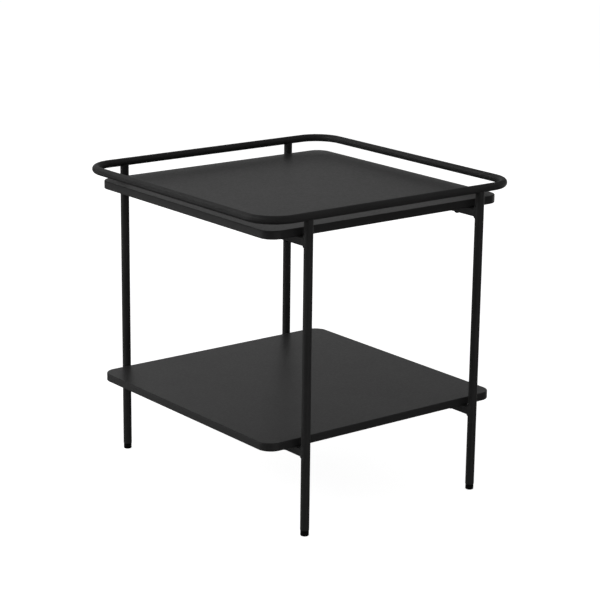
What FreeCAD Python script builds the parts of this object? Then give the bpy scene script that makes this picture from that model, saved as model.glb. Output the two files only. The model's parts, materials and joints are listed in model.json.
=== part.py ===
import FreeCAD, Part
import os
import Sketcher

# Two-tier square side table.  A guard rail of bent round tube runs round the top on four
# straight legs.  Two crossbars under each board join a front leg to the leg behind it, and
# both boards are screwed down to them from below.  Levelling feet screw into the legs.
#
# Frame: +Z up, origin on the floor at the middle of the table.  X runs along the two sides
# where the rail stands on legs, and "front" is the side at -Y.  Lengths in millimetres.

DIMENSIONS = {
    # whole table
    "overall_width": 500,
    "overall_height": 500,
    # guard rail: bent round tube
    "rail_diameter": 12.7,
    "rail_wall": 1.2,
    "rail_bend_radius": 46,
    "vent_diameter": 5,
    # legs: straight round tube, their upper ends coped to the rail
    "leg_diameter": 14,
    "leg_wall": 1.5,
    "leg_spacing": 337,
    "cope_depth": 3.2,
    # crossbars: square tube between a front and a rear leg
    "bar_width": 12.7,
    "bar_wall": 1.2,
    "bar_edge_radius": 1.5,
    "bar_hole": 5.5,
    "weld_size": 3.5,
    # boards: the top and the shelf are the same panel
    "board_size": 456,
    "board_thickness": 13,
    "board_corner_radius": 23,
    "board_edge_radius": 1.2,
    "top_surface": 474.5,
    "shelf_surface": 151,
    # button-head screws, and the threaded inserts in the boards that take them
    "screw_inset": 35,
    "screw_diameter": 5,
    "screw_length": 20,
    "head_diameter": 9.5,
    "head_height": 2.75,
    "head_flat": 4.4,
    "socket_width": 3,
    "socket_depth": 1.6,
    "insert_diameter": 8,
    "insert_length": 10,
    "insert_hole_depth": 10.5,
    "insert_chamfer": 0.5,
    # levelling feet: a threaded bush in the tube's end, a stud and a plastic glide
    "foot_height": 9,
    "seat_gap": 0.1,
    "foot_diameter": 13.2,
    "foot_chamfer": 1.4,
    "foot_top_chamfer": 0.3,
    "stud_diameter": 6,
    "stud_reach": 20,
    "stud_head_diameter": 10,
    "stud_head_thickness": 3,
    "stud_head_height": 4,
    "stud_tip_chamfer": 0.8,
    "thread_clearance": 0.05,
    "bush_length": 18,
}

# Distances worked out from the sheet, as expressions.
RAIL_LINE = "(dims.overall_width - dims.rail_diameter) / 2"  # table's middle to rail's centreline
RAIL_HEIGHT = "dims.overall_height - dims.rail_diameter / 2"
BEND_CENTRE = RAIL_LINE + " - dims.rail_bend_radius"
HALF_SPACING = "dims.leg_spacing / 2"
SCREW_ROW = "dims.board_size / 2 - dims.screw_inset"  # table's middle to a row of screws
BOARD_BASE = {
    "top": "dims.top_surface - dims.board_thickness",
    "shelf": "dims.shelf_surface - dims.board_thickness",
}
TOLERANCE = 1e-6
SIDES = {"left": -1, "right": 1}
ENDS = {"front": -1, "rear": 1}

doc = FreeCAD.newDocument("SideTable")
sheet = doc.addObject("Spreadsheet::Sheet", "dims")
for row, (alias, value) in enumerate(DIMENSIONS.items(), start=1):
    sheet.set(f"A{row}", alias)
    sheet.set(f"B{row}", str(value))
    sheet.setAlias(f"B{row}", alias)
doc.recompute()

nodes = []


def new_body(label):
    """An empty body that becomes one named piece, or one group of identical pieces."""
    body = doc.addObject("PartDesign::Body", label)
    body.Label = label
    nodes.append(body)
    return body


def origin_feature(body, role):
    """A body's own origin plane or axis, by its role, such as XY_Plane or Z_Axis."""
    return next(item for item in body.Origin.OriginFeatures if item.Role == role)


def sketch_on(body, plane, across="0", up="0", out="0"):
    """A sketch on an origin plane, its own origin moved by three expressions."""
    sketch = body.newObject("Sketcher::SketchObject", body.Name + "_sketch")
    sketch.AttachmentSupport = (origin_feature(body, plane), "")
    sketch.MapMode = "FlatFace"
    for direction, expression in (("x", across), ("y", up), ("z", out)):
        sketch.setExpression("AttachmentOffset.Base." + direction, expression)
    return sketch


def bind(sketch, constraint, expression):
    """Adds a dimension to a sketch and ties it to an expression."""
    index = sketch.addConstraint(constraint)
    sketch.setExpression(f"Constraints[{index}]", expression)


def add_circle(sketch, diameter, across="0"):
    """A circle on the sketch's horizontal axis, at a distance from the sketch's origin."""
    centre = FreeCAD.Vector(value_of(across), 0, 0)
    circle = sketch.addGeometry(Part.Circle(centre, FreeCAD.Vector(0, 0, 1), 1))
    sketch.addConstraint(Sketcher.Constraint("PointOnObject", circle, 3, -1))
    bind(sketch, Sketcher.Constraint("DistanceX", -1, 1, circle, 3, centre.x), across)
    bind(sketch, Sketcher.Constraint("Diameter", circle, 2.0), diameter)


def add_outline(sketch, corners, arcs=None):
    """A closed outline through corners, each a pair of expressions: across and up.

    The side that leaves corner n is straight unless arcs holds n: then it is an arc of the
    radius given there, which lies to the left of the straight line (1) or to its right (-1).
    """
    arcs = arcs or {}
    points = [FreeCAD.Vector(value_of(across), value_of(up), 0) for across, up in corners]
    count = len(points)
    sides = []
    for n in range(count):
        start, end = points[n], points[(n + 1) % count]
        if n in arcs:
            radius, hand = arcs[n]
            sides.append(sketch.addGeometry(arc_between(start, end, value_of(radius), hand)))
        else:
            sides.append(sketch.addGeometry(Part.LineSegment(start, end)))
    # A sketch arc always runs counterclockwise, so an arc that bulges left starts at its far end.
    first = [2 if n in arcs and arcs[n][1] > 0 else 1 for n in range(count)]
    last = [3 - position for position in first]
    for n in range(count):
        following = (n + 1) % count
        sketch.addConstraint(
            Sketcher.Constraint("Coincident", sides[n], last[n], sides[following], first[following])
        )
        corner = (sides[n], first[n])
        across, up = corners[n]
        bind(sketch, Sketcher.Constraint("DistanceX", -1, 1, *corner, points[n].x), across)
        bind(sketch, Sketcher.Constraint("DistanceY", -1, 1, *corner, points[n].y), up)
    for n, (radius, _) in arcs.items():
        bind(sketch, Sketcher.Constraint("Radius", sides[n], value_of(radius)), radius)


def arc_between(start, end, radius, hand):
    """The shorter arc of a radius from start to end, bulging left (1) or right (-1)."""
    chord = end - start
    middle = (start + end) / 2
    leftward = FreeCAD.Vector(-chord.y, chord.x, 0).normalize() * hand
    rise = radius - (radius**2 - (chord.Length / 2) ** 2) ** 0.5
    return Part.Arc(start, middle + leftward * rise, end)


def add_rectangle(sketch, width, height):
    """A rectangle centred on the sketch's origin."""
    left, right = f"-({width}) / 2", f"({width}) / 2"
    bottom, top = f"-({height}) / 2", f"({height}) / 2"
    add_outline(sketch, [(left, bottom), (right, bottom), (right, top), (left, top)])


def value_of(expression):
    """The number that an expression in the sheet's aliases stands for."""
    return float(sheet.evalExpression(expression))


def feature_from(body, kind, sketch, length, symmetric=False, reverse=False):
    """A Pad or Pocket of the sketch, to one side of it or evenly to both."""
    feature = body.newObject("PartDesign::" + kind, body.Name + "_" + kind.lower())
    feature.Profile = sketch
    feature.SideType = "Symmetric" if symmetric else "One side"
    feature.Reversed = reverse
    feature.setExpression("Length", length)
    return feature


def pad(body, sketch, length, **options):
    """Material added along the sketch's normal."""
    return feature_from(body, "Pad", sketch, length, **options)


def pocket(body, sketch, length, **options):
    """Material taken away on the side that the sketch's normal points away from."""
    return feature_from(body, "Pocket", sketch, length, **options)


def revolve(body, sketch, angle=360.0, symmetric=False):
    """Material turned about the sketch's vertical axis."""
    feature = body.newObject("PartDesign::Revolution", body.Name + "_revolution")
    feature.Profile = sketch
    feature.ReferenceAxis = (sketch, ["V_Axis"])
    feature.Angle = angle
    feature.Midplane = symmetric
    return feature


def mirror(body, plane, originals=None):
    """The given features, or the whole piece so far, repeated across an origin plane."""
    feature = body.newObject("PartDesign::Mirrored", body.Name + "_mirrored")
    feature.MirrorPlane = (origin_feature(body, plane), [""])
    if originals:
        feature.Originals = originals
    else:
        feature.TransformMode = "Whole shape"
    body.Tip = feature


def repeat_in_rectangle(body, original, length_x, length_y):
    """A feature repeated at the four corners of a rectangle, towards +X and +Y."""
    feature = body.newObject("PartDesign::LinearPattern", body.Name + "_pattern")
    feature.Originals = [original]
    feature.Direction = (origin_feature(body, "X_Axis"), [""])
    feature.Direction2 = (origin_feature(body, "Y_Axis"), [""])
    feature.Occurrences = 2
    feature.Occurrences2 = 2
    feature.setExpression("Length", length_x)
    feature.setExpression("Length2", length_y)
    body.Tip = feature


def dress_edges(body, kind, chosen, size):
    """A Fillet or Chamfer on those edges of the piece so far that a test picks out."""
    doc.recompute()
    base = body.Tip
    names = [f"Edge{n}" for n, edge in enumerate(base.Shape.Edges, start=1) if chosen(edge)]
    feature = body.newObject("PartDesign::" + kind, body.Name + "_" + kind.lower())
    feature.Base = (base, names)
    feature.setExpression("Radius" if kind == "Fillet" else "Size", size)
    body.Tip = feature


def is_upright(edge):
    """True for an edge whose ends are one above the other."""
    heights = [vertex.Z for vertex in edge.Vertexes]
    return max(heights) - min(heights) > TOLERANCE


def is_level_at(*levels):
    """A test for edges that lie in one of the given horizontal planes."""

    def chosen(edge):
        return any(
            all(abs(vertex.Z - level) < TOLERANCE for vertex in edge.Vertexes) for level in levels
        )

    return chosen


def place(body, across="0", along="0", up="0"):
    """Sets where a piece stands, as three expressions."""
    for direction, expression in (("x", across), ("y", along), ("z", up)):
        body.setExpression("Placement.Base." + direction, expression)


def guard_rail():
    """The rail: one round tube bent into a rounded square, hollow all the way round.

    One straight side and the bend after it are turned four times about the middle.  A vent
    hole opens the tube into each leg.
    """
    body = new_body("guard_rail")
    bore = "dims.rail_diameter - 2 * dims.rail_wall"
    side_section = sketch_on(body, "YZ_Plane", across=f"-({RAIL_LINE})", up=RAIL_HEIGHT)
    for diameter in ("dims.rail_diameter", bore):
        add_circle(side_section, diameter)
    side = pad(body, side_section, f"2 * ({BEND_CENTRE})", symmetric=True)
    bend_section = sketch_on(
        body, "YZ_Plane", across=f"-({BEND_CENTRE})", up=RAIL_HEIGHT, out=BEND_CENTRE
    )
    for diameter in ("dims.rail_diameter", bore):
        add_circle(bend_section, diameter, across="-dims.rail_bend_radius")
    bend = revolve(body, bend_section, angle=90.0)
    around = body.newObject("PartDesign::PolarPattern", "guard_rail_sides")
    around.Originals = [side, bend]
    around.Axis = (origin_feature(body, "Z_Axis"), [""])
    around.Angle = 360.0
    around.Occurrences = 4
    body.Tip = around
    vent = sketch_on(
        body, "XY_Plane", across=f"-({HALF_SPACING})", up=f"-({RAIL_LINE})", out=RAIL_HEIGHT
    )
    add_circle(vent, "dims.vent_diameter")
    hole = pocket(body, vent, "dims.rail_diameter")
    repeat_in_rectangle(body, hole, "dims.leg_spacing", f"2 * ({RAIL_LINE})")


def leg(end, side):
    """A straight leg tube, its upper end coped to the underside of the rail."""
    body = new_body(f"leg_{end}_{side}")
    section = sketch_on(body, "XY_Plane", out="dims.foot_height + dims.seat_gap")
    add_circle(section, "dims.leg_diameter")
    add_circle(section, "dims.leg_diameter - 2 * dims.leg_wall")
    rail_underside = "dims.overall_height - dims.rail_diameter"
    pad(body, section, f"{rail_underside} + dims.cope_depth - dims.foot_height - dims.seat_gap")
    cope = sketch_on(body, "YZ_Plane", up=RAIL_HEIGHT)
    add_circle(cope, "dims.rail_diameter")
    pocket(body, cope, "2 * dims.leg_diameter", symmetric=True)
    place(body, f"{SIDES[side]} * ({HALF_SPACING})", f"{ENDS[end]} * ({RAIL_LINE})")


def crossbar(board, side):
    """A square tube from a front leg to the rear one, coped to both legs at its ends."""
    body = new_body(f"{board}_crossbar_{side}")
    section = sketch_on(body, "XZ_Plane")
    add_rectangle(section, "dims.bar_width", "dims.bar_width")
    bore = "dims.bar_width - 2 * dims.bar_wall"
    add_rectangle(section, bore, bore)
    pad(body, section, f"2 * ({RAIL_LINE})", symmetric=True)
    half_width = value_of("dims.bar_width / 2")

    def is_outer_corner(edge):
        middle = edge.CenterOfMass
        return all(abs(abs(part) - half_width) < TOLERANCE for part in (middle.x, middle.z))

    dress_edges(body, "Fillet", is_outer_corner, "dims.bar_edge_radius")
    cope = sketch_on(body, "XY_Plane", up=f"-({RAIL_LINE})")
    add_circle(cope, "dims.leg_diameter")
    end_cut = pocket(body, cope, "2 * dims.bar_width", symmetric=True)
    screw_hole = sketch_on(body, "XY_Plane", up=f"-({SCREW_ROW})")
    add_circle(screw_hole, "dims.bar_hole")
    hole = pocket(body, screw_hole, "2 * dims.bar_width", symmetric=True)
    mirror(body, "XZ_Plane", [end_cut, hole])
    place(body, f"{SIDES[side]} * ({HALF_SPACING})", up=f"{BOARD_BASE[board]} - dims.bar_width / 2")


def crossbar_welds(board):
    """The fillet welds over and under each end of a board's two crossbars.

    One bead is turned about a leg's axis and trimmed to the bar's width, then repeated
    above the bar, beside the other bar and at the other end.
    """
    body = new_body(f"{board}_crossbar_welds")
    bead = sketch_on(body, "XZ_Plane", across=f"-({HALF_SPACING})", out=RAIL_LINE)
    leg_face = "dims.leg_diameter / 2"
    bar_face = "-dims.bar_width / 2"
    corners = [
        (leg_face, bar_face),
        (leg_face, f"{bar_face} - dims.weld_size"),
        (f"{leg_face} + dims.weld_size", bar_face),
    ]
    add_outline(bead, corners, arcs={1: ("dims.weld_size", 1)})
    revolve(body, bead, angle=180.0)
    edges = sketch_on(body, "XY_Plane", across=f"-({HALF_SPACING})", up=f"-({RAIL_LINE})")
    add_rectangle(edges, "dims.bar_width", "4 * dims.leg_diameter")
    add_rectangle(edges, "4 * dims.leg_diameter", "5 * dims.leg_diameter")
    pocket(body, edges, "4 * dims.bar_width", symmetric=True)
    for plane in ("XY_Plane", "YZ_Plane", "XZ_Plane"):
        mirror(body, plane)
    place(body, up=f"{BOARD_BASE[board]} - dims.bar_width / 2")


def board(name, label):
    """A square panel with rounded corners and softened edges, drilled from below."""
    body = new_body(label)
    outline = sketch_on(body, "XY_Plane")
    add_rectangle(outline, "dims.board_size", "dims.board_size")
    pad(body, outline, "dims.board_thickness")
    dress_edges(body, "Fillet", is_upright, "dims.board_corner_radius")
    faces = is_level_at(0, value_of("dims.board_thickness"))
    dress_edges(body, "Fillet", faces, "dims.board_edge_radius")
    drilling = sketch_on(body, "XY_Plane", across=f"-({HALF_SPACING})", up=f"-({SCREW_ROW})")
    add_circle(drilling, "dims.insert_diameter")
    hole = pocket(body, drilling, "dims.insert_hole_depth", reverse=True)
    repeat_in_rectangle(body, hole, "dims.leg_spacing", f"2 * ({SCREW_ROW})")
    place(body, up=BOARD_BASE[name])


def board_inserts(name):
    """Four threaded inserts set flush into the underside of a board."""
    body = new_body(f"{name}_inserts")
    section = sketch_on(body, "XY_Plane", across=f"-({HALF_SPACING})", up=f"-({SCREW_ROW})")
    add_circle(section, "dims.insert_diameter")
    add_circle(section, "dims.screw_diameter + 2 * dims.thread_clearance")
    pad(body, section, "dims.insert_length")
    is_end = is_level_at(0, value_of("dims.insert_length"))
    dress_edges(body, "Chamfer", is_end, "dims.insert_chamfer")
    for plane in ("YZ_Plane", "XZ_Plane"):
        mirror(body, plane)
    place(body, up=BOARD_BASE[name])


def board_screws(name):
    """Four button-head screws that pass up through the crossbars into a board's inserts."""
    body = new_body(f"{name}_screws")
    profile = sketch_on(body, "XZ_Plane", across=f"-({HALF_SPACING})", out=SCREW_ROW)
    corners = [
        ("0", "-dims.head_height"),
        ("dims.head_flat / 2", "-dims.head_height"),
        ("dims.head_diameter / 2", "0"),
        ("dims.screw_diameter / 2", "0"),
        ("dims.screw_diameter / 2", "dims.screw_length"),
        ("0", "dims.screw_length"),
    ]
    add_outline(profile, corners, arcs={1: ("dims.head_diameter / 2", -1)})
    revolve(body, profile)
    socket = sketch_on(
        body,
        "XY_Plane",
        across=f"-({HALF_SPACING})",
        up=f"-({SCREW_ROW})",
        out="-dims.head_height",
    )
    half = "dims.socket_width / 2"
    point = f"{half} / cos(30 deg)"
    hexagon = [
        (point, "0"),
        (f"{point} / 2", half),
        (f"-{point} / 2", half),
        (f"-{point}", "0"),
        (f"-{point} / 2", f"-{half}"),
        (f"{point} / 2", f"-{half}"),
    ]
    add_outline(socket, hexagon)
    pocket(body, socket, "dims.socket_depth", reverse=True)
    for plane in ("YZ_Plane", "XZ_Plane"):
        mirror(body, plane)
    place(body, up=f"{BOARD_BASE[name]} - dims.bar_width")


def leg_bush(end, side):
    """A threaded bush pressed into the lower end of a leg, flush with the tube's end."""
    body = new_body(f"leg_bush_{end}_{side}")
    section = sketch_on(body, "XY_Plane", out="dims.foot_height + dims.seat_gap")
    add_circle(section, "dims.leg_diameter - 2 * dims.leg_wall")
    add_circle(section, "dims.stud_diameter + 2 * dims.thread_clearance")
    pad(body, section, "dims.bush_length")
    place(body, f"{SIDES[side]} * ({HALF_SPACING})", f"{ENDS[end]} * ({RAIL_LINE})")


def foot_stud(end, side):
    """The threaded stud of a levelling foot, its flat head moulded into the glide."""
    body = new_body(f"foot_stud_{end}_{side}")
    profile = sketch_on(body, "XZ_Plane")
    head_top = "dims.stud_head_height + dims.stud_head_thickness"
    tip = "dims.foot_height + dims.stud_reach"
    corners = [
        ("0", "dims.stud_head_height"),
        ("dims.stud_head_diameter / 2", "dims.stud_head_height"),
        ("dims.stud_head_diameter / 2", head_top),
        ("dims.stud_diameter / 2", head_top),
        ("dims.stud_diameter / 2", f"{tip} - dims.stud_tip_chamfer"),
        ("dims.stud_diameter / 2 - dims.stud_tip_chamfer", tip),
        ("0", tip),
    ]
    add_outline(profile, corners)
    revolve(body, profile)
    place(body, f"{SIDES[side]} * ({HALF_SPACING})", f"{ENDS[end]} * ({RAIL_LINE})")


def foot_glide(end, side):
    """The plastic glide of a levelling foot, moulded round the stud's head."""
    body = new_body(f"foot_glide_{end}_{side}")
    profile = sketch_on(body, "XZ_Plane")
    edge = "dims.foot_diameter / 2"
    head_top = "dims.stud_head_height + dims.stud_head_thickness"
    corners = [
        ("0", "0"),
        (f"{edge} - dims.foot_chamfer", "0"),
        (edge, "dims.foot_chamfer"),
        (edge, "dims.foot_height - dims.foot_top_chamfer"),
        (f"{edge} - dims.foot_top_chamfer", "dims.foot_height"),
        ("dims.stud_diameter / 2", "dims.foot_height"),
        ("dims.stud_diameter / 2", head_top),
        ("dims.stud_head_diameter / 2", head_top),
        ("dims.stud_head_diameter / 2", "dims.stud_head_height"),
        ("0", "dims.stud_head_height"),
    ]
    add_outline(profile, corners)
    revolve(body, profile)
    place(body, f"{SIDES[side]} * ({HALF_SPACING})", f"{ENDS[end]} * ({RAIL_LINE})")


def check_and_export():
    """Stops on a failed feature or a bad solid, then writes one STEP file for each node."""
    doc.recompute()
    failed = [item.Name for item in doc.Objects if {"Invalid", "Error"} & set(item.State)]
    bad = [body.Label for body in nodes if body.Shape.isNull() or not body.Shape.isValid()]
    if failed or bad:
        raise RuntimeError(f"failed features {failed}, bad solids {bad}")
    os.makedirs("parts", exist_ok=True)
    for body in nodes:
        body.Shape.exportStep(f"parts/{body.Label}.step")
        solids, volume = len(body.Shape.Solids), body.Shape.Volume
        print(f"{body.Label}: {solids} solid(s), {volume:.0f} mm3")


guard_rail()
for end in ENDS:
    for side in SIDES:
        for make_piece in (leg, leg_bush, foot_stud, foot_glide):
            make_piece(end, side)
for name, label in (("top", "table_top"), ("shelf", "lower_shelf")):
    board(name, label)
    board_inserts(name)
    board_screws(name)
    crossbar_welds(name)
    for side in SIDES:
        crossbar(name, side)
check_and_export()
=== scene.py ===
import json
import math
import random

import bmesh
import bpy
from mathutils import Matrix, Vector

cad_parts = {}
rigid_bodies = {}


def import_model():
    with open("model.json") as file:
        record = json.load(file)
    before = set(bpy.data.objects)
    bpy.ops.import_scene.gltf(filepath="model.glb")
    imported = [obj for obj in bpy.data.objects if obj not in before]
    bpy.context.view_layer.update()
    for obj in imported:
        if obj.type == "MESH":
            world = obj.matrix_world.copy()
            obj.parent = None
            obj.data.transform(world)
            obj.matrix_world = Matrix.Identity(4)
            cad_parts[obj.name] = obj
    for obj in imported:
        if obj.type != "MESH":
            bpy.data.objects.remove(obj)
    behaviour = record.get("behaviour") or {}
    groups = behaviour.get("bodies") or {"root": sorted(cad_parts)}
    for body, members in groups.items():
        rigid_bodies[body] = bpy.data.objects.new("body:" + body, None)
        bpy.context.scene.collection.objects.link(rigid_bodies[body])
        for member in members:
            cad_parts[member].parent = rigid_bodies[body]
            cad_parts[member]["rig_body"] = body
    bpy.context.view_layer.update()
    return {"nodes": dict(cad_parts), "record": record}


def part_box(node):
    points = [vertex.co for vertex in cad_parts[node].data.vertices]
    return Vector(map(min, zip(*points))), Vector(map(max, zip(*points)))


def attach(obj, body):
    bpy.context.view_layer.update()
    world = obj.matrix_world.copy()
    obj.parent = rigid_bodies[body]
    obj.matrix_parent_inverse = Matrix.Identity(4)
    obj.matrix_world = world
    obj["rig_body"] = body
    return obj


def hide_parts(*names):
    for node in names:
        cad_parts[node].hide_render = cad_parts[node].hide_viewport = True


# The looks of the two-tier side table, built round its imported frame.  Metres, +Z up, the
# floor at z = 0 and the table's middle on the Z axis.  The tubes, boards, weld beads and feet
# are finer pieces that stand for their CAD nodes; the rest keep their CAD shapes.

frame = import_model()
scene = bpy.context.scene

MM = 0.001
ENDS = {"front": -1, "rear": 1}
SIDES = {"left": -1, "right": 1}
BOARDS = {"top": "table_top", "shelf": "lower_shelf"}
SLOTS = {part["node"]: part["material_slot"] for part in frame["record"]["subparts"]}

# Sizes that a node's box doesn't tell.
RAIL_BEND_RADIUS = 46 * MM
LEG_WALL = 1.5 * MM
COPE_DEPTH = 3.2 * MM
LEG_END_ROUNDING = 0.4 * MM
BOARD_CORNER_RADIUS = 23 * MM
BOARD_EDGE_RADIUS = 1.2 * MM
SCREW_INSET = 35 * MM
INSERT_HOLE_DIAMETER = 8 * MM
INSERT_HOLE_DEPTH = 10.5 * MM
BAR_EDGE_RADIUS = 1.5 * MM
WELD_SIZE = 3.5 * MM
BEAD_SPAN = 0.96  # of the bar's width
BEAD_TAPER = 0.96  # how nearly a bead runs out at its ends
BEAD_FULLNESS = (0.86, 0.93)  # of the weld size, from the leanest bead to the fullest
RIPPLE_HEIGHT = 0.07  # of the weld size
RIPPLE_PITCH = 1.5 * MM
RIPPLE_BOW = 1.2 * MM
STUD_DIAMETER = 6 * MM
STUD_HEAD_DIAMETER = 10 * MM
STUD_HEAD_THICKNESS = 3 * MM
THREAD_PITCH = 1 * MM
THREAD_DEPTH = 0.55 * MM
STUD_TIP_TAPER = 0.9  # of the thread's core, at the very tip
GLIDE_EDGE_RADIUS = 1.4 * MM
GLIDE_TOP_RADIUS = 0.3 * MM
GLIDE_DRAFT = 0.06 * MM

# How finely round shapes are cut, in points.
TUBE_POINTS = 56
BEND_STEPS = 28
CORNER_STEPS = 24
EDGE_STEPS = 6
RAIL_STEPS = 12
BOARD_STEPS = 12
LEG_STEPS = 12
BEAD_STEPS = 72
BEAD_SECTION = 8
STUD_POINTS = 32
RINGS_PER_TURN = 8
DOME_POINTS = 96
DOME_STEPS = 24
FLAT_MARGIN = 1.5 * MM  # a flat face keeps its own shading from this far inside its edge

# Camera, at the reference view: where it looks, and from how far round, up and away.
SIGHT_POINT = Vector((0.005, -0.0039, 0.2875))
CAMERA_AZIMUTH = -38.07
CAMERA_ELEVATION = 15.27
CAMERA_ROLL = 0.71
CAMERA_DISTANCE = 3.190
CAMERA_LENS = 118.4
CAMERA_SENSOR = 36.0

# Studio: a floor under a dome, and equal softboxes, all the same way off.  Each softbox has
# its azimuth and elevation in degrees, and its radiance.
STUDIO_RADIUS = 30.0
SOFTBOX_WIDTH = 2.4
SOFTBOX_HEIGHT = 1.2
SOFTBOX_DISTANCE = 2.6
SOFTBOXES = {
    "key_light": (-98, 36, 1.05),
    "high_left_light": (-135, 36, 0.69),
    "low_left_light": (-128, -10, 0.60),
    "low_right_light": (100, -5, 0.56),
    "high_rear_light": (180, 36, 0.33),
    "sheen_light": (142, 12, 0.31),
    "high_right_light": (60, 36, 0.28),
    "rear_light": (180, 5, 0.16),
    "front_light": (0, -12, 0.47),
}


# ------------------------------------------------------------------------- mesh building

def skin(rings, closed=False):
    """Points and faces of a surface through rings of points, each ring closed on itself."""
    count = len(rings[0])
    points = [point for ring in rings for point in ring]
    faces = []
    for n in range(len(rings) if closed else len(rings) - 1):
        here, there = n * count, (n + 1) % len(rings) * count
        for i in range(count):
            j = (i + 1) % count
            faces.append((here + i, here + j, there + j, there + i))
    return points, faces


def capped_skin(rings):
    """A surface through rings, closed by a flat face over its first and last ring."""
    points, faces = skin(rings)
    count = len(rings[0])
    faces.append(tuple(range(count)))
    faces.append(tuple(range(len(points) - count, len(points))))
    return points, faces


def mesh_from(name, points, faces):
    """A closed mesh whose faces look outwards; the flat area inside open edges is filled."""
    mesh = bpy.data.meshes.new(name)
    mesh.from_pydata([tuple(point) for point in points], [], faces)
    cage = bmesh.new()
    cage.from_mesh(mesh)
    rims = [edge for edge in cage.edges if edge.is_boundary]
    if rims:
        bmesh.ops.triangle_fill(cage, use_beauty=True, edges=rims)
    bmesh.ops.recalc_face_normals(cage, faces=cage.faces)
    cage.to_mesh(mesh)
    cage.free()
    return mesh


def join(parts):
    """The points and faces of several surfaces as one."""
    points, faces = [], []
    for more_points, more_faces in parts:
        start = len(points)
        points.extend(more_points)
        faces.extend(tuple(start + n for n in face) for face in more_faces)
    return points, faces


def add_piece(mesh, node, material, sharp=40.0):
    """A piece of the given mesh that stands for a CAD node and rides with its body.

    Edges that turn by more than sharp, in degrees, stay crisp; the rest are shaded smooth.
    """
    mesh.shade_smooth()
    mesh.set_sharp_from_angle(angle=math.radians(sharp))
    mesh.materials.append(material)
    piece = bpy.data.objects.new(mesh.name, mesh)
    scene.collection.objects.link(piece)
    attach(piece, frame["nodes"][node]["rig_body"])
    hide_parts(node)
    return piece


def circle(radius, count=TUBE_POINTS):
    """Offsets round a circle, as pairs."""
    turns = (math.tau * n / count for n in range(count))
    return [(radius * math.cos(turn), radius * math.sin(turn)) for turn in turns]


def turned(profile, centre, count=TUBE_POINTS):
    """Rings of a shape turned about an upright axis; the profile is pairs of radius and height."""
    return [
        [(centre.x + x, centre.y + y, height) for x, y in circle(radius, count)]
        for radius, height in profile
    ]


def rounding(radius, start, end, steps=EDGE_STEPS):
    """Offsets along an arc from one angle to another, in degrees."""
    for n in range(steps + 1):
        turn = math.radians(start + (end - start) * n / steps)
        yield radius * math.cos(turn), radius * math.sin(turn)


# -------------------------------------------------------------------------------- pieces

def straight_places(half, steps):
    """Places along a straight side from -half to half, the outer ones close to its ends."""
    edge = half - FLAT_MARGIN
    return [-edge + 2 * edge * n / steps for n in range(steps + 1)]


def around_square(half, radius, steps, side_steps):
    """Points round a rounded square with the direction outwards at each, counterclockwise."""
    straight = half - radius
    for quarter in range(4):
        turn = Matrix.Rotation(math.radians(90 * quarter), 3, "Z")
        corner = Vector((straight, straight, 0))
        for a, b in rounding(1.0, 0, 90, steps):
            outward = Vector((a, b, 0))
            yield turn @ (corner + outward * radius), turn @ outward
        for place in straight_places(straight, side_steps):
            yield turn @ Vector((-place, half, 0)), turn @ Vector((0, 1, 0))


def guard_rail(material):
    """The bent tube as one smooth sweep along its rounded square."""
    low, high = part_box("guard_rail")
    tube = (high.z - low.z) / 2
    middle = Vector((0, 0, (high.z + low.z) / 2))
    up = Vector((0, 0, 1))
    rings = [
        [middle + place + outward * a + up * b for a, b in circle(tube)]
        for place, outward in around_square(high.x - tube, RAIL_BEND_RADIUS, BEND_STEPS, RAIL_STEPS)
    ]
    mesh = mesh_from("guard_rail_tube", *skin(rings, closed=True))
    add_piece(mesh, "guard_rail", material)


def coped_ring(centre, radius, top):
    """A leg's upper end at one radius: level at top, but cut out to the rail's underside."""
    low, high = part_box("guard_rail")
    rail_radius = (high.z - low.z) / 2
    rail_middle = (high.z + low.z) / 2
    ring = []
    for x, y in circle(radius):
        across = min(abs(y), rail_radius)
        cut = rail_middle - math.sqrt(rail_radius**2 - across**2)
        ring.append((centre.x + x, centre.y + y, min(cut, top)))
    return ring


def leg_tube(node, material):
    """A leg: round tube with a softened lower end, its upper end coped to the rail."""
    low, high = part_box(node)
    centre = (low + high) / 2
    outer = (high.x - low.x) / 2
    inner = outer - LEG_WALL
    soft = LEG_END_ROUNDING
    shoulder = high.z - 2 * COPE_DEPTH
    wall = [
        (outer - soft + a, low.z + soft + b) for a, b in rounding(soft, -90, 0)
    ]
    first, last = low.z + soft + FLAT_MARGIN, shoulder
    wall += [(outer, first + (last - first) * n / LEG_STEPS) for n in range(LEG_STEPS + 1)]
    rings = turned(wall, centre)
    rings += [coped_ring(centre, outer, high.z), coped_ring(centre, inner, high.z)]
    rings += turned([(inner, shoulder), (inner, low.z)], centre)
    mesh = mesh_from(node.replace("leg_", "leg_tube_"), *skin(rings, closed=True))
    add_piece(mesh, node, material)


def insert_hole(x, y, base):
    """A blind hole that opens at the height base."""
    centre = Vector((x, y, 0))
    radius = INSERT_HOLE_DIAMETER / 2
    profile = [(radius, base), (radius, base + INSERT_HOLE_DEPTH)]
    points, faces = skin(turned(profile, centre))
    bottom = tuple(range(TUBE_POINTS, 2 * TUBE_POINTS))
    faces.append(bottom)
    return points, faces


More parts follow.
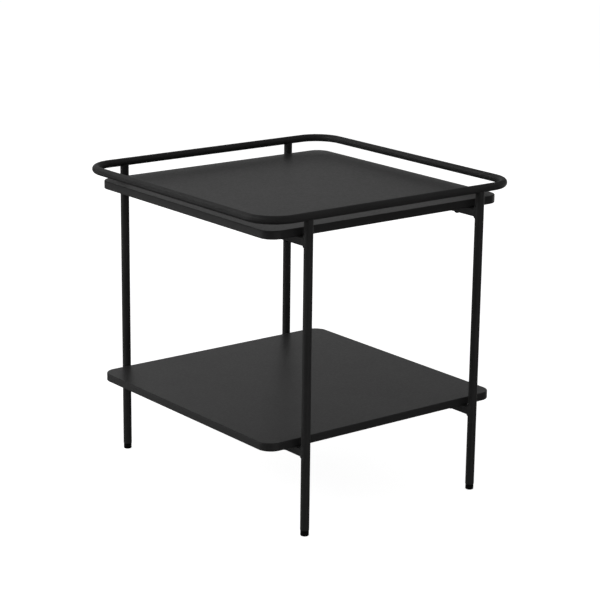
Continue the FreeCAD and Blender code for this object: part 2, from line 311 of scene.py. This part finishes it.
def board_panel(node, material):
    """A board: rounded corners, softened edges, and four blind holes in its underside."""
    low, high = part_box(node)
    soft = BOARD_EDGE_RADIUS
    flat = soft + FLAT_MARGIN
    profile = [(flat, low.z)]
    profile += [(soft - a, low.z + soft + b) for a, b in rounding(soft, -90, 0)]
    profile += [(0, low.z + flat), (0, high.z - flat)]
    profile += [(soft - a, high.z - soft + b) for a, b in rounding(soft, 0, 90)]
    profile += [(flat, high.z)]
    rings = []
    for inset, height in profile:
        around = around_square(
            high.x - inset, BOARD_CORNER_RADIUS - inset, CORNER_STEPS, BOARD_STEPS
        )
        rings.append([place + Vector((0, 0, height)) for place, _ in around])
    # The skin gets its top face here; its underside is filled round the holes' open rims.
    points, faces = skin(rings)
    faces.append(tuple(range(len(points) - len(rings[0]), len(points))))
    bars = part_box("top_crossbar_right")
    bar_x = (bars[0].x + bars[1].x) / 2
    row = high.y - SCREW_INSET
    holes = [insert_hole(a * bar_x, b * row, low.z) for a in (-1, 1) for b in (-1, 1)]
    mesh = mesh_from(node + "_panel", *join([(points, faces), *holes]))
    add_piece(mesh, node, material, sharp=50.0)


def weld_bead(leg, leg_radius, bar_half, bar_face, up, chance):
    """One rippled fillet bead along the joint of a leg and a crossbar's upper or lower face."""
    inward = -math.copysign(1, leg.y)
    shift = chance.random()
    fullness = chance.uniform(*BEAD_FULLNESS)
    rings = []
    for n in range(BEAD_STEPS + 1):
        share = 2 * n / BEAD_STEPS - 1
        x = share * bar_half * BEAD_SPAN
        root = leg.y + inward * math.sqrt(leg_radius**2 - x**2)
        past_flat = max(0, abs(x) - bar_half + BAR_EDGE_RADIUS)
        drop = BAR_EDGE_RADIUS - math.sqrt(BAR_EDGE_RADIUS**2 - past_flat**2)
        face = bar_face - up * drop
        taper = math.sqrt(1 - BEAD_TAPER * abs(share) ** 5)
        ring = [(leg.x + x, root, face)]
        for a, b in rounding(1.0, 0, 90, BEAD_SECTION):
            bow = a * b * RIPPLE_BOW / RIPPLE_PITCH
            ripple = abs(math.sin(math.pi * (x / RIPPLE_PITCH + shift + bow)))
            size = WELD_SIZE * taper * (fullness + RIPPLE_HEIGHT * ripple)
            ring.append((leg.x + x, root + inward * size * a, face + up * size * b))
        rings.append(ring)
    return capped_skin(rings)


def crossbar_welds(board, material):
    """The eight beads over and under the ends of a board's two crossbars."""
    chance = random.Random(board)
    beads = []
    for side in SIDES:
        low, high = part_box(f"{board}_crossbar_{side}")
        for end in ENDS:
            leg_low, leg_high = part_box(f"leg_{end}_{side}")
            leg, radius = (leg_low + leg_high) / 2, (leg_high.x - leg_low.x) / 2
            half = (high.x - low.x) / 2
            for face, up in ((high.z, 1), (low.z, -1)):
                beads.append(weld_bead(leg, radius, half, face, up, chance))
    mesh = mesh_from(f"{board}_weld_beads", *join(beads))
    add_piece(mesh, f"{board}_crossbar_welds", material, sharp=60.0)


def foot_glide(node, material):
    """A moulded glide: a rounded pad with a little draft, hollow for the stud and its head."""
    low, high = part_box(node)
    centre = (low + high) / 2
    radius = (high.x - low.x) / 2
    edge, top = GLIDE_EDGE_RADIUS, GLIDE_TOP_RADIUS
    upper = radius - GLIDE_DRAFT
    head_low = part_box(node.replace("glide", "stud"))[0].z
    head_high = head_low + STUD_HEAD_THICKNESS
    profile = [(radius - edge - FLAT_MARGIN, low.z)]
    profile += [(radius - edge + a, low.z + edge + b) for a, b in rounding(edge, -90, 0)]
    profile += [(upper - top + a, high.z - top + b) for a, b in rounding(top, 0, 90)]
    profile += [(STUD_DIAMETER / 2, high.z), (STUD_DIAMETER / 2, head_high)]
    profile += [(STUD_HEAD_DIAMETER / 2, head_high), (STUD_HEAD_DIAMETER / 2, head_low)]
    mesh = mesh_from(node.replace("foot_glide", "glide"), *capped_skin(turned(profile, centre)))
    add_piece(mesh, node, material)


def thread_ring(centre, radius, height):
    """One ring of a right-hand thread: its groove comes round once in each pitch."""
    ring = []
    for n, (x, y) in enumerate(circle(1.0, STUD_POINTS)):
        turn = math.tau * (height / THREAD_PITCH - n / STUD_POINTS)
        size = radius - THREAD_DEPTH * (1 + math.cos(turn)) / 2
        ring.append((centre.x + size * x, centre.y + size * y, height))
    return ring


def foot_stud(node, material):
    """A levelling stud: flat head inside the glide, plain neck, rolled thread and tip."""
    low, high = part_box(node)
    centre = (low + high) / 2
    radius = STUD_DIAMETER / 2
    head = STUD_HEAD_DIAMETER / 2
    head_high = low.z + STUD_HEAD_THICKNESS
    core = radius - THREAD_DEPTH
    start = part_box(node.replace("stud", "glide"))[1].z + THREAD_PITCH / 4
    tip = high.z - THREAD_PITCH
    rings = turned(
        [(head, low.z), (head, head_high), (radius, head_high), (radius, start)],
        centre,
        STUD_POINTS,
    )
    steps = round((tip - start) / THREAD_PITCH * RINGS_PER_TURN)
    for n in range(1, steps + 1):
        rings.append(thread_ring(centre, radius, start + (tip - start) * n / steps))
    end = [(core, tip + THREAD_PITCH / 4), (core * STUD_TIP_TAPER, high.z)]
    rings += turned(end, centre, STUD_POINTS)
    mesh = mesh_from(node.replace("foot_stud", "stud"), *capped_skin(rings))
    add_piece(mesh, node, material, sharp=60.0)


# ---------------------------------------------------------------------------- node helpers

def new_material(name):
    """An empty node material with its Principled shader linked to the output."""
    material = bpy.data.materials.new(name)
    material.use_nodes = True
    nodes = material.node_tree.nodes
    nodes.clear()
    output = nodes.new("ShaderNodeOutputMaterial")
    shader = nodes.new("ShaderNodeBsdfPrincipled")
    material.node_tree.links.new(shader.outputs["BSDF"], output.inputs["Surface"])
    return material, shader


def object_coordinates(tree):
    """The socket of each piece's own coordinates, in metres."""
    return tree.nodes.new("ShaderNodeTexCoord").outputs["Object"]


def noise(tree, coordinates, size, detail=2.0, roughness=0.5):
    """A noise whose features are about size metres across; its output is a grey value."""
    node = tree.nodes.new("ShaderNodeTexNoise")
    node.inputs["Scale"].default_value = 1.0 / size
    node.inputs["Detail"].default_value = detail
    node.inputs["Roughness"].default_value = roughness
    tree.links.new(coordinates, node.inputs["Vector"])
    return node.outputs["Fac"]


def ramp(tree, value, low, high, start=0.3, end=0.7):
    """A grey value turned into a colour, or a level, that runs from low to high."""
    node = tree.nodes.new("ShaderNodeValToRGB")
    for element, place, level in zip(node.color_ramp.elements, (start, end), (low, high)):
        element.position = place
        colour = level if isinstance(level, tuple) else (level, level, level)
        element.color = (*colour, 1.0)
    tree.links.new(value, node.inputs["Fac"])
    return node.outputs["Color"]


def bump(tree, height, depth, under=None):
    """A bump from a height map that is depth metres deep, laid over another bump if given."""
    node = tree.nodes.new("ShaderNodeBump")
    node.inputs["Distance"].default_value = depth
    tree.links.new(height, node.inputs["Height"])
    if under is not None:
        tree.links.new(under, node.inputs["Normal"])
    return node.outputs["Normal"]


# ------------------------------------------------------------------------------- materials

def powder_coat():
    """Matte black powder coat on steel tube: a fine dry grain over a slight orange peel."""
    material, shader = new_material("powder_coat_black")
    tree = material.node_tree
    coordinates = object_coordinates(tree)
    grain = noise(tree, coordinates, 0.45 * MM, detail=2.0, roughness=0.6)
    peel = noise(tree, coordinates, 2.2 * MM, detail=1.0)
    cloud = noise(tree, coordinates, 70 * MM, detail=3.0)
    tree.links.new(ramp(tree, cloud, 0.045, 0.058), shader.inputs["Base Color"])
    tree.links.new(ramp(tree, grain, 0.44, 0.56), shader.inputs["Roughness"])
    peel_bump = bump(tree, peel, 0.06 * MM)
    tree.links.new(bump(tree, grain, 0.08 * MM, under=peel_bump), shader.inputs["Normal"])
    shader.inputs["Specular IOR Level"].default_value = 0.25
    return material


def board_lacquer():
    """Matte charcoal lacquer sprayed on the boards, with its fine dry texture."""
    material, shader = new_material("board_lacquer_charcoal")
    tree = material.node_tree
    coordinates = object_coordinates(tree)
    grain = noise(tree, coordinates, 0.4 * MM, detail=3.0, roughness=0.6)
    spray = noise(tree, coordinates, 4 * MM, detail=2.0)
    cloud = noise(tree, coordinates, 90 * MM, detail=3.0)
    tree.links.new(ramp(tree, cloud, 0.050, 0.058), shader.inputs["Base Color"])
    tree.links.new(ramp(tree, spray, 0.34, 0.40), shader.inputs["Roughness"])
    spray_bump = bump(tree, spray, 0.04 * MM)
    tree.links.new(bump(tree, grain, 0.025 * MM, under=spray_bump), shader.inputs["Normal"])
    shader.inputs["Specular IOR Level"].default_value = 0.2
    return material


def moulded_nylon():
    """Black nylon with the dull, even grain of a spark-eroded mould."""
    material, shader = new_material("nylon_black")
    tree = material.node_tree
    coordinates = object_coordinates(tree)
    grain = noise(tree, coordinates, 0.3 * MM, detail=3.0)
    tree.links.new(ramp(tree, grain, 0.004, 0.007), shader.inputs["Base Color"])
    tree.links.new(ramp(tree, grain, 0.58, 0.7), shader.inputs["Roughness"])
    tree.links.new(bump(tree, grain, 0.04 * MM), shader.inputs["Normal"])
    shader.inputs["Specular IOR Level"].default_value = 0.2
    return material


def zinc_plate():
    """Bright zinc plating with a faint cloudy bloom."""
    material, shader = new_material("zinc_plated_steel")
    tree = material.node_tree
    coordinates = object_coordinates(tree)
    cloud = noise(tree, coordinates, 2 * MM, detail=4.0, roughness=0.6)
    colour = ramp(tree, cloud, (0.50, 0.52, 0.54), (0.62, 0.63, 0.63))
    tree.links.new(colour, shader.inputs["Base Color"])
    tree.links.new(ramp(tree, cloud, 0.24, 0.4), shader.inputs["Roughness"])
    tree.links.new(bump(tree, cloud, 0.02 * MM), shader.inputs["Normal"])
    shader.inputs["Metallic"].default_value = 1.0
    return material


def black_oxide():
    """Black oxide on the button-head screws, oiled and a little uneven."""
    material, shader = new_material("black_oxide_steel")
    tree = material.node_tree
    coordinates = object_coordinates(tree)
    cloud = noise(tree, coordinates, 1.2 * MM, detail=3.0)
    tree.links.new(ramp(tree, cloud, 0.02, 0.035), shader.inputs["Base Color"])
    tree.links.new(ramp(tree, cloud, 0.3, 0.44), shader.inputs["Roughness"])
    tree.links.new(bump(tree, cloud, 0.015 * MM), shader.inputs["Normal"])
    shader.inputs["Metallic"].default_value = 1.0
    return material


def studio_paint():
    """The studio's plain pale paint, which glows so that shadows on it stay faint."""
    material, shader = new_material("studio_paint")
    shader.inputs["Base Color"].default_value = (0.8, 0.8, 0.8, 1.0)
    shader.inputs["Roughness"].default_value = 1.0
    shader.inputs["Specular IOR Level"].default_value = 0.0
    shader.inputs["Emission Color"].default_value = (1.0, 1.0, 1.0, 1.0)
    shader.inputs["Emission Strength"].default_value = 0.94
    return material


def finish_nodes(finishes):
    """Gives every CAD node the finished material of its record slot."""
    for name, node in frame["nodes"].items():
        for place in node.material_slots:
            place.material = finishes[SLOTS[name]]


# ------------------------------------------------------------------------ studio and camera

def direction(azimuth, elevation):
    """Unit vector from the table towards a place; azimuth is in degrees from -Y to +X."""
    a, e = math.radians(azimuth), math.radians(elevation)
    return Vector((math.sin(a) * math.cos(e), -math.cos(a) * math.cos(e), math.sin(e)))


def add_studio():
    """A wide pale floor under a dome, seen by the camera but by none of the table's surfaces."""
    dome = rounding(STUDIO_RADIUS, 0, 89, DOME_STEPS)
    mesh = mesh_from("studio", *capped_skin(turned(dome, Vector(), DOME_POINTS)))
    mesh.shade_smooth()
    mesh.set_sharp_from_angle(angle=math.radians(40))
    mesh.materials.append(studio_paint())
    studio = bpy.data.objects.new("studio", mesh)
    studio.visible_diffuse = False
    studio.visible_glossy = False
    studio.visible_shadow = False
    scene.collection.objects.link(studio)


def add_softbox(name, azimuth, elevation, radiance):
    """A broad softbox of even brightness that faces the table from the given side."""
    light = bpy.data.lights.new(name, "AREA")
    light.shape = "RECTANGLE"
    light.size, light.size_y = SOFTBOX_WIDTH, SOFTBOX_HEIGHT
    light.energy = radiance * math.pi * SOFTBOX_WIDTH * SOFTBOX_HEIGHT
    lamp = bpy.data.objects.new(name, light)
    towards = direction(azimuth, elevation)
    lamp.location = SIGHT_POINT + towards * SOFTBOX_DISTANCE
    lamp.rotation_euler = towards.to_track_quat("Z", "Y").to_euler()
    lamp.visible_camera = False
    scene.collection.objects.link(lamp)


def add_room(level, below):
    """An even grey room, darker below the level of the floor."""
    world = bpy.data.worlds.new("studio")
    world.use_nodes = True
    tree = world.node_tree
    axes = tree.nodes.new("ShaderNodeSeparateXYZ")
    way = tree.nodes.new("ShaderNodeTexCoord").outputs["Generated"]
    tree.links.new(way, axes.inputs["Vector"])
    glow = ramp(tree, axes.outputs["Z"], below, level, start=0.0, end=0.02)
    tree.links.new(glow, tree.nodes["Background"].inputs["Color"])
    scene.world = world


def add_camera():
    """The camera at the reference view, with its slight roll."""
    data = bpy.data.cameras.new("camera")
    data.lens = CAMERA_LENS
    data.sensor_width = CAMERA_SENSOR
    data.clip_end = 3 * STUDIO_RADIUS
    camera = bpy.data.objects.new("camera", data)
    back = direction(CAMERA_AZIMUTH, CAMERA_ELEVATION)
    aim = back.to_track_quat("Z", "Y").to_matrix().to_4x4()
    roll = Matrix.Rotation(math.radians(CAMERA_ROLL), 4, "Z")
    camera.matrix_world = Matrix.Translation(SIGHT_POINT + back * CAMERA_DISTANCE) @ aim @ roll
    scene.collection.objects.link(camera)
    scene.camera = camera


finishes = {
    "frame_paint": powder_coat(),
    "board_lacquer": board_lacquer(),
    "foot_plastic": moulded_nylon(),
    "zinc_steel": zinc_plate(),
    "screw_black": black_oxide(),
}
finish_nodes(finishes)
guard_rail(finishes["frame_paint"])
for board, node in BOARDS.items():
    board_panel(node, finishes["board_lacquer"])
    crossbar_welds(board, finishes["frame_paint"])
for end in ENDS:
    for side in SIDES:
        leg_tube(f"leg_{end}_{side}", finishes["frame_paint"])
        foot_glide(f"foot_glide_{end}_{side}", finishes["foot_plastic"])
        foot_stud(f"foot_stud_{end}_{side}", finishes["zinc_steel"])

add_studio()
add_room(level=0.095, below=0.06)
for name, (azimuth, elevation, radiance) in SOFTBOXES.items():
    add_softbox(name, azimuth, elevation, radiance)
add_camera()
scene.view_settings.view_transform = "Standard"
